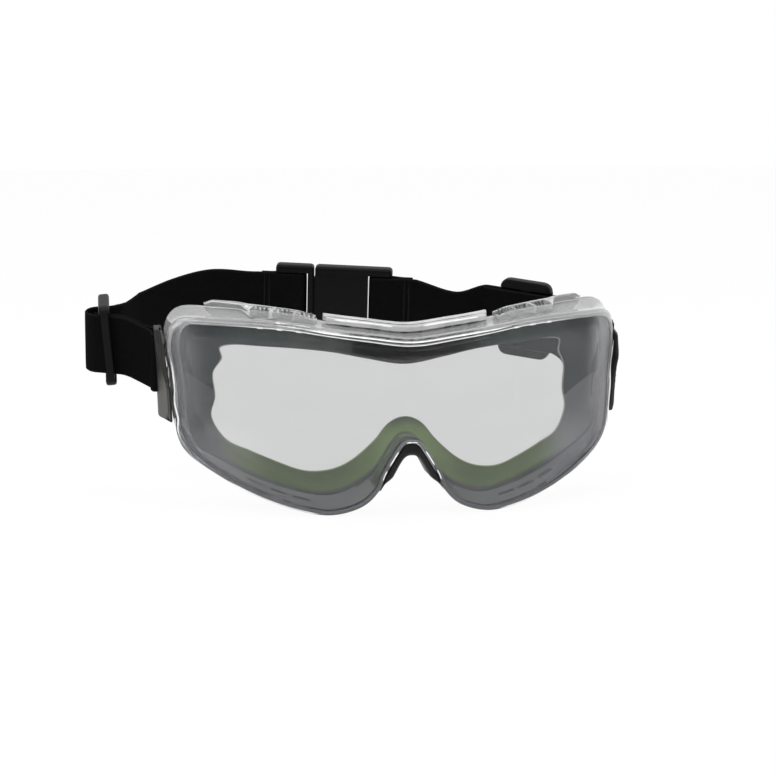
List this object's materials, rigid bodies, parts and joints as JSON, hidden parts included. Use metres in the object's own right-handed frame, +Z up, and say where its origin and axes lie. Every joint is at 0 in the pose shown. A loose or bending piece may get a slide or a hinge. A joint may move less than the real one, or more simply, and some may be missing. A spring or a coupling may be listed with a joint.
{
  "type": "safety goggles",
  "caption": "Wrap-round safety goggles with a clear vented frame, coated lens, dark face seal and black elastic head strap with pivoting clips, slides and a rear release buckle.",
  "frame": {"origin": "on the median plane where the brow of the face seal meets the wearer's face, at the height of the eyes", "axes": "+X to the right of someone looking at the front of the lens, +Y from the lens towards the wearer's head, +Z up"},
  "size_m": [0.2168, 0.1475, 0.086],
  "materials": {
    "clear_vinyl": "clear glossy flexible vinyl, slightly cloudy on the deck",
    "coated_lens": "clear polycarbonate with a thin grey-green coating",
    "charcoal_seal": "matt soft rubber",
    "black_pad": "satin soft rubber",
    "dark_grey_plastic": "satin moulded plastic",
    "black_elastic": "woven elastic webbing"
  },
  "bodies": {
    "frame": {"frame_shell": "clear_vinyl", "lens": "coated_lens", "face_seal": "charcoal_seal", "nose_pad": "black_pad", "brow_cover": "clear_vinyl", "vent_cap_left": "clear_vinyl", "vent_cap_right": "clear_vinyl", "pivot_lug_left": "clear_vinyl", "pivot_lug_right": "clear_vinyl"},
    "band_left": {"clip_left": "dark_grey_plastic", "strap_front_left": "black_elastic", "strap_fold_left": "black_elastic", "strap_rear_left": "black_elastic"},
    "band_right": {"clip_right": "dark_grey_plastic", "strap_right": "black_elastic", "buckle_socket": "dark_grey_plastic"},
    "slide_left": {"slide_left": "dark_grey_plastic"},
    "slide_right": {"slide_right": "dark_grey_plastic"},
    "buckle_tongue": {"buckle_tongue": "dark_grey_plastic"}
  },
  "joints": [
    {"name": "strap_tilt_left", "type": "hinge", "parent": "frame", "child": "band_left", "pos_m": [-0.0915, 0.03646, 0.003], "axis": [1, 0, 0], "range_deg": [-18, 8]},
    {"name": "strap_tilt_right", "type": "hinge", "parent": "frame", "child": "band_right", "pos_m": [0.0915, 0.03646, 0.003], "axis": [1, 0, 0], "range_deg": [-18, 8]},
    {"name": "slide_left_adjust", "type": "slide", "parent": "band_left", "child": "slide_left", "axis": [0.9507, -0.3034, -0.0645], "range_m": [0, 0.006], "deforming": ["strap_fold_left"]},
    {"name": "slide_right_adjust", "type": "slide", "parent": "band_right", "child": "slide_right", "axis": [0.8412, -0.5289, -0.1124], "range_m": [-0.006, 0.006]},
    {"name": "buckle_release", "type": "slide", "parent": "band_left", "child": "buckle_tongue", "axis": [-0.9755, 0.2153, 0.0458], "range_m": [0, 0.016], "deforming": ["strap_rear_left"]}
  ],
  "couplings": [
    {"joint": "strap_tilt_right", "follows": "strap_tilt_left", "ratio": 1}
  ]
}
